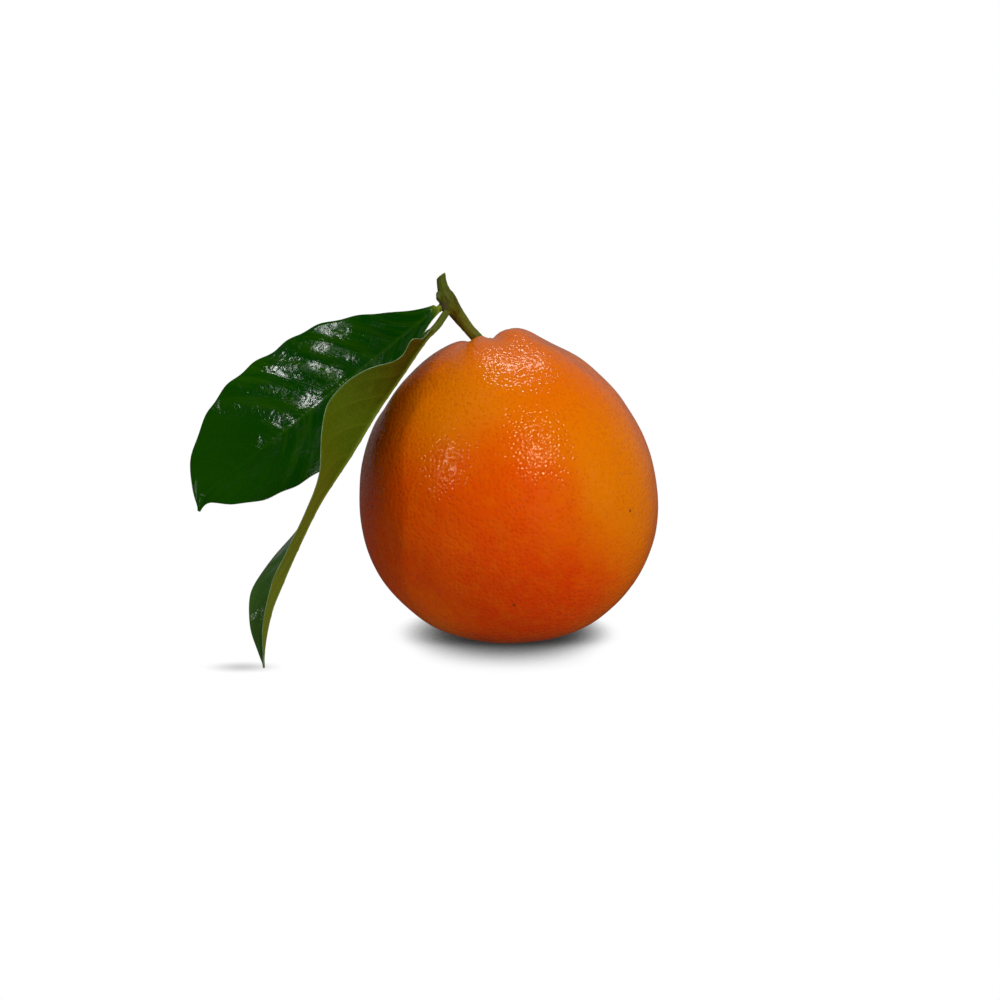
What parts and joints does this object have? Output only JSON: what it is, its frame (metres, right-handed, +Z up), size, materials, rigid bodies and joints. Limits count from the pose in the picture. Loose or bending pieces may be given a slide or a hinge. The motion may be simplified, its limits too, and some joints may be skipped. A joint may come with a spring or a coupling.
{
  "type": "tarocco blood orange",
  "caption": "Whole blood orange with a short cut twig and a pair of drooping leaves, resting on a small flat spot.",
  "frame": {"origin": "middle of the flat spot that the fruit rests on", "axes": "+Z up, +X away from the side the leaves droop to, -Y the side the lower leaf comes forward to"},
  "size_m": [0.1192, 0.082, 0.0921],
  "materials": {
    "peel": "satin",
    "stem": "satin",
    "leaf": "gloss"
  },
  "bodies": {
    "root": {"fruit": "peel", "stem": "stem", "leaf_upper": "leaf", "leaf_lower": "leaf"}
  },
  "joints": []
}
